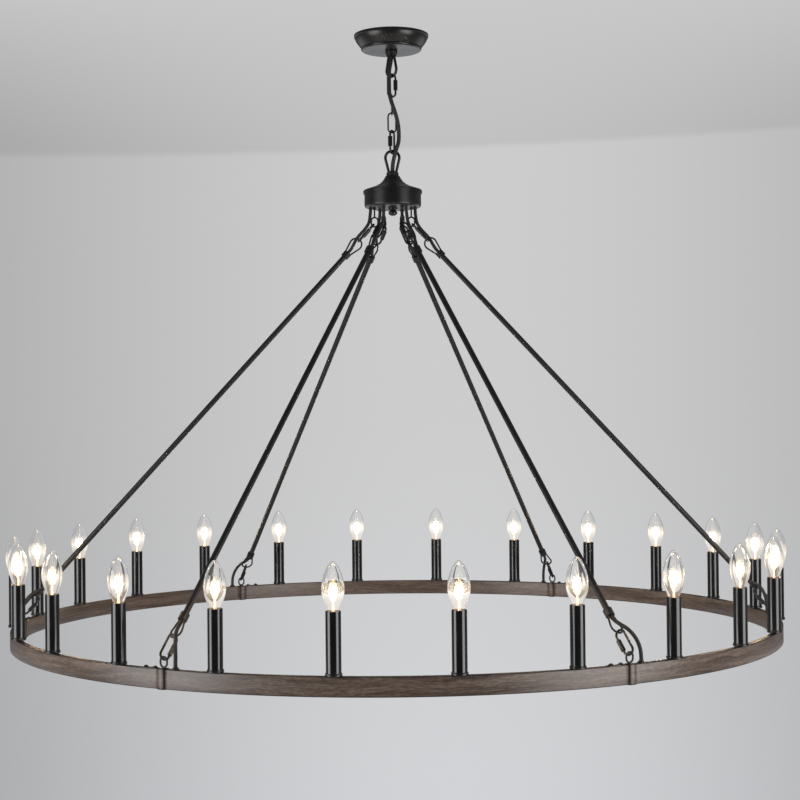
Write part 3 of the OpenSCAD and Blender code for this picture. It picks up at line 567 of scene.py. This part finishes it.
# Painted shadow: the lower strip at the band's stepped end is coloured near black for the shadow under the
# step.
step_shadow_black = (0.008, 0.006, 0.006, 1)
plug(tree, shader, {
    "Base Color": mixed(tree, in_step_shadow, print_out["Colour"], step_shadow_black),
    "Roughness": calc(tree, "MULTIPLY_ADD", in_step_shadow, 0.3, print_out["Roughness"]),
    "Normal": add(tree, "Bump", 0.35, 0.0004, None, print_out["Height"]).outputs[0],
    "Specular IOR Level": 0.5,
})
bm = bmesh.new()
low, step, high = -band_len / 2, band_len / 2 - strip_len, band_len / 2
slip_fit, strip_wall = 0.03, band_wall - strip_depth
profile = (  # places along the ring, and how far the band stands off it there
    (low, slip_fit), (low, band_wall - 0.25), (low + 0.25, band_wall), (step - 0.2, band_wall),
    (step, band_wall - 0.2), (step, strip_wall), (high, strip_wall), (high, slip_fit),
)
wraps = [(y, round_box(ring_w + 2 * t, ring_h + 2 * t, ring_round + t - 0.6, 4)) for y, t in profile]
for i in range(rod_count):
    turn = Matrix.Rotation(math.radians(rod_angle * i), 4, "Z")
    turn = turn @ Matrix.Translation((ring_radius, 0, ring_middle))
    way_round = 1 if i % 2 == 0 else -1
    loft(bm, [
        [turn @ Vector((x, way_round * y, z)) for x, z in wrap] for y, wrap in wraps
    ], closed=True)
bmesh.ops.recalc_face_normals(bm, faces=bm.faces)
bands = piece_from("joint_bands_dressed", bm, printed_band)
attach(bands, "wheel")
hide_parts("joint_bands")

# ---- Joint hardware ----
# On each joint stands a wire eye. Beside it two dome screws hold a thin plate on one side, and the
# cord enters through a flared gland on the other.
finish_nodes(link_paint, "joint_eyes", "joint_screws", "cable_glands")

# ---- Candles ----
# Each light is a painted steel sleeve in a shallow foot cup. The sleeves are glossier than the
# rest and mirror the room's windows in two long streaks.
sleeve_paint = painted(
    "sleeve_paint", colour=(0.006, 0.006, 0.0065, 1), roughness=0.16, peel_size=0.0013, dust=0.15,
    bump=0.012, specular=0.55,
)
finish_nodes(sleeve_paint, "candle_sleeves")
finish_nodes(black_paint, "candle_cups")

# ---- Lamp holders ----
# Cream moulded screw shells on straps, hidden in the sleeves but for their rims.
cream_plastic = painted(
    "cream_plastic", colour=(0.62, 0.55, 0.42, 1), roughness=0.45, peel_size=0.0006, dust=0.2
)
finish_nodes(cream_plastic, "lamp_holders")

# ---- Bulbs ----
# Clear flame-shaped glass on a small brass screw base. Inside, a glass stem carries four slanted
# glowing sticks; their light in the lower part of the glass and in the stem is painted as a warm glow.
light_count, sleeve_top, glass_sink = 24, 101, 9
bulb_h, bulb_d, bulb_wide_h, neck_d, glass_wall = 77, 36.5, 33, 13.2, 0.9
light_angle, light_z = 360 / light_count, ring_top + sleeve_top
lights = [
    Matrix.Rotation(math.radians(light_angle * (k + 0.5)), 4, "Z")
    @ Matrix.Translation((ring_radius, 0, light_z))
    for k in range(light_count)
]


def lathe(name, outlines, places, material, sides=40):
    """Turned solids at several places; each outline is a closed loop of radii and heights."""
    bm = bmesh.new()
    for matrix in places:
        for outline in outlines:
            loft(bm, [
                [matrix @ Vector((r * math.cos(a), r * math.sin(a), z)) for r, z in outline]
                for a in (2 * math.pi * k / sides for k in range(sides))
            ], closed=True)
    bmesh.ops.remove_doubles(bm, verts=bm.verts, dist=1e-7)
    bmesh.ops.recalc_face_normals(bm, faces=bm.faces)
    return piece_from(name, bm, material)


def bezier(a, b, c, d, steps):
    a, b, c, d = (Vector(p) for p in (a, b, c, d))
    line = []
    for k in range(steps + 1):
        t, u = k / steps, 1 - k / steps
        line.append(tuple(u**3 * a + 3 * u**2 * t * b + 3 * u * t * t * c + t**3 * d))
    return line


def glass_outline(inset):
    """The flame's outline from the neck to the tip, set in from the outer skin."""
    r, n, top = bulb_d / 2 - inset, neck_d / 2 - inset, bulb_h - inset * 1.6
    widest, tip_r = (r, bulb_wide_h), 6.5
    lower = bezier((n, -glass_sink), (n + 1.5, bulb_wide_h * 0.1), (r, bulb_wide_h * 0.5), widest, 16)
    upper = bezier(widest, (r, bulb_wide_h + (top - bulb_wide_h) * 0.5), (tip_r, top), (0, top), 20)
    return lower + upper[1:]


tree, shader, bulb_glass_look = new_material("bulb_glass")
above_sleeve = calc(tree, "SUBTRACT", object_axes(tree)[2], light_z / 1000)
# Painted glow: the glass is given a warm emission in its lower part, strongest a little over a third of the
# way up, for the light of the sticks.
painted_glass_glow = ramp(
    tree, calc(tree, "DIVIDE", above_sleeve, bulb_h / 1000),
    (0, (0.05, 0.03, 0.014)), (0.2, (0.05, 0.04, 0.027)), (0.38, (0.13, 0.11, 0.082)),
    (0.5, (0.09, 0.07, 0.048)), (0.62, (0, 0, 0)),
)
plug(tree, shader, {
    "Base Color": (1, 1, 1, 1),
    "Roughness": 0.01,
    "IOR": 1.45,
    "Transmission Weight": 1.0,
    "Alpha": calc(tree, "SUBTRACT", 1, add(tree, "LightPath").outputs["Is Shadow Ray"]),
    "Emission Color": painted_glass_glow,
    "Emission Strength": 1.0,
})
outside, inside = glass_outline(0), glass_outline(glass_wall)
glass = lathe("bulb_glass", [outside + inside[::-1]], lights, bulb_glass_look)
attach(glass, "wheel")
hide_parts("bulb_glasses")

tree, shader, brass = new_material("brass_screw_base")
base_place = add(tree, "TexCoord").outputs["Object"]
thread_pitch = 0.0026
up_base = add(tree, "SeparateXYZ", base_place).outputs[2]
turns_up = calc(tree, "SINE", calc(tree, "MULTIPLY", up_base, 2 * math.pi / thread_pitch))
tarnish = noise(tree, base_place, 180, 3)
plug(tree, shader, {
    "Base Color": ramp(tree, tarnish, (0.35, (0.5, 0.36, 0.15)), (0.7, (0.72, 0.56, 0.28))),
    "Metallic": 1.0,
    "Roughness": calc(tree, "MULTIPLY_ADD", tarnish, 0.3, 0.2),
    "Normal": add(tree, "Bump", 0.8, 0.0006, None, turns_up).outputs[0],
})
finish_nodes(brass, "bulb_bases")

stem_top, stick_len, stick_d = 18, 27, 1.8
tree, shader, stem_glass = new_material("stem_glass")
up_stem = calc(tree, "SUBTRACT", object_axes(tree)[2], (light_z - glass_sink) / 1000)
# Painted glow: the stem glass is given a warm emission, brighter towards its top, for the light of the
# sticks.
painted_stem_glow = ramp(
    tree, calc(tree, "MULTIPLY", up_stem, 1 / 0.03),
    (0.1, (0.42, 0.2, 0.06)), (0.5, (0.7, 0.42, 0.16)), (1, (1, 0.7, 0.4)),
)
plug(tree, shader, {
    "Base Color": (0.9, 0.85, 0.78, 1),
    "Roughness": 0.12,
    "Transmission Weight": 0.5,
    "Emission Color": painted_stem_glow,
    "Emission Strength": 0.25,
})
stem_outline = [
    (0, -glass_sink), (3.5, -glass_sink), (3.2, -4), (1.9, 4), (1.7, stem_top - 3), (2.3, stem_top - 1),
    (1.9, stem_top), (0, stem_top),
]
stems = lathe("bulb_stems", [stem_outline], lights, stem_glass, sides=20)
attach(stems, "wheel")
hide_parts("bulb_filaments")

tree, shader, glowing_stick = new_material("glowing_stick")
stick_grain = noise(tree, add(tree, "TexCoord").outputs["Object"], 900)
plug(tree, shader, {
    "Base Color": (0.9, 0.7, 0.3, 1),
    "Roughness": 0.5,
    "Emission Color": ramp(tree, stick_grain, (0.3, (1, 0.72, 0.4)), (0.7, (1, 0.82, 0.56))),
    "Emission Strength": 2.6,
})
spread = 3.8  # how much further from the middle a stick is at its top
tilt = Matrix.Rotation(math.atan2(spread, stick_len), 4, "Y")
stick_foot = Matrix.Translation((1.3, 0, stem_top - 1.5))
stick_places = [
    light @ Matrix.Rotation(math.radians(45 + 90 * k), 4, "Z") @ stick_foot @ tilt
    for light in lights for k in range(4)
]
r = stick_d / 2
stick_outline = [
    (0, 0), (r * 0.6, 0.2), (r, 0.9), (r, stick_len - 0.9), (r * 0.6, stick_len - 0.2), (0, stick_len),
]
sticks = lathe("glowing_sticks", [stick_outline], stick_places, glowing_stick, sides=12)
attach(sticks, "wheel")
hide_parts("bulb_filaments")

# ---- Room ----
# A pale grey room: a wall that falls off to both sides, a ceiling above a soft seam, and a large
# window on each side. The camera, the gloss and the glass see the room, and all else a plain sky.
world = bpy.data.worlds.new("room")
scene.world = world
world.use_nodes = True
tree = world.node_tree
way = add(tree, "SeparateXYZ", add(tree, "TexCoord").outputs["Generated"]).outputs
wall_middle, seam_low, seam, far_ceiling = 0.035, 0.163, 0.167, 0.253
off_middle = calc(tree, "POWER", calc(tree, "ABSOLUTE", calc(tree, "SUBTRACT", way[0], wall_middle)), 2)
up_room = calc(tree, "MULTIPLY_ADD", way[0], -0.025, way[2])
on_ceiling = mapped(tree, up_room, seam_low, seam, 0, 1)


def by_height(wall_low, wall_high, ceiling_near, ceiling_far):
    """A value that changes down the wall and, past the seam, along the ceiling."""
    wall = mapped(tree, way[2], -0.2, 0, wall_low, wall_high)
    ceiling = mapped(tree, way[2], seam, far_ceiling, ceiling_near, ceiling_far)
    return calc(tree, "MULTIPLY_ADD", calc(tree, "SUBTRACT", ceiling, wall), on_ceiling, wall)


brightest, fall_off = by_height(0.648, 0.606, 0.533, 0.584), by_height(7, 4.6, 4.6, 0.5)
room_sides = mapped(tree, off_middle, 0.09, 0.3, 0.4, 0.6)
dimmed = calc(tree, "DIVIDE", brightest, calc(tree, "MULTIPLY_ADD", fall_off, off_middle, 1))
room_grey = calc(tree, "MAXIMUM", dimmed, room_sides)
bluish = ramp(tree, calc(tree, "MULTIPLY", way[2], -4), (0, (1, 1, 1.003)), (1, (0.985, 1, 1.035)))
room = add(tree, "VectorMath", bluish, None, None, room_grey, operation="SCALE").outputs[0]
path = add(tree, "LightPath").outputs
gloss_side = mapped(tree, way[1], -0.35, 0.35, 0.06, 0.3)
low_down = mapped(tree, way[2], -0.14, -0.24, 0, 1)
far_floor = calc(tree, "MULTIPLY", mapped(tree, way[1], 0.2, 0.6, 0, 1), low_down)
gloss_share = calc(tree, "MULTIPLY_ADD", far_floor, 1.35, gloss_side)
mirrored = add(tree, "VectorMath", room, None, None, gloss_share, operation="SCALE").outputs[0]
only_mirrored = calc(tree, "SUBTRACT", path["Is Glossy Ray"], path["Is Transmission Ray"], clamp=True)
seen = mixed(tree, only_mirrored, room, mirrored)
by_gloss_or_glass = calc(tree, "MAXIMUM", path["Is Glossy Ray"], path["Is Transmission Ray"])
looks_at_room = calc(tree, "MAXIMUM", path["Is Camera Ray"], by_gloss_or_glass)
plain_sky = (0.34, 0.34, 0.35, 1)
plug(tree, tree.nodes["Background"], {"Color": mixed(tree, looks_at_room, plain_sky, seen)})

window_away, window_z, window_h, window_light = 2.7, -1.05, 1.7, 5.6
for side, middle, half_angle in (("left", -56, 16), ("right", 50, 16)):
    data = bpy.data.lights.new(f"{side}_window", "AREA")
    data.shape = "RECTANGLE"
    data.size = 2 * window_away * math.tan(math.radians(half_angle))
    data.size_y = window_h
    data.energy = window_light * math.pi * data.size * data.size_y
    window = bpy.data.objects.new(f"{side}_window", data)
    a = math.radians(middle)
    spot = Vector((window_away * math.sin(a), -window_away * math.cos(a), window_z))
    facing = Vector((-spot.x, -spot.y, 0)).to_track_quat("-Z", "Y").to_matrix().to_4x4()
    window.matrix_world = Matrix.Translation(spot) @ facing
    window.visible_camera = window.visible_transmission = False
    scene.collection.objects.link(window)

bulb_watts, bulb_warmth, bulb_light_h = 0.4, (1, 0.68, 0.38), 30
for k, light in enumerate(lights):
    data = bpy.data.lights.new(f"bulb_light_{k + 1}", "POINT")
    data.energy = bulb_watts
    data.color = bulb_warmth
    data.shadow_soft_size = 0.008
    lamp = bpy.data.objects.new(f"bulb_light_{k + 1}", data)
    scene.collection.objects.link(lamp)
    lamp.parent = frame["bodies"]["wheel"]
    lamp.matrix_world = Matrix.Translation(light @ Vector((0, 0, bulb_light_h)) / 1000)

floor_r, floor_z = 3.4, -2.35
bm = bmesh.new()
at_floor = Matrix.Translation((0, 0, floor_z))
bmesh.ops.create_circle(bm, cap_ends=True, segments=96, radius=floor_r, matrix=at_floor)
tree, shader, floor_look = new_material("pale_floor")
floor_at = add(tree, "TexCoord").outputs["Object"]
speckle = noise(tree, floor_at, 8, 5)
from_axis = add(tree, "VectorMath", floor_at, (1, 1, 0), operation="MULTIPLY").outputs[0]
reach = add(tree, "VectorMath", from_axis, operation="LENGTH").outputs["Value"]
fade = mapped(tree, reach, 3.3, 1.8, 0, 1)
underneath = add(tree, "NewGeometry").outputs["Backfacing"]
plug(tree, shader, {
    "Base Color": ramp(tree, speckle, (0.3, (0.56, 0.565, 0.58)), (0.7, (0.6, 0.605, 0.62))),
    "Roughness": 0.7,
    "Alpha": calc(tree, "SUBTRACT", fade, underneath, clamp=True),
})
floor = piece_from("floor", bm, floor_look)
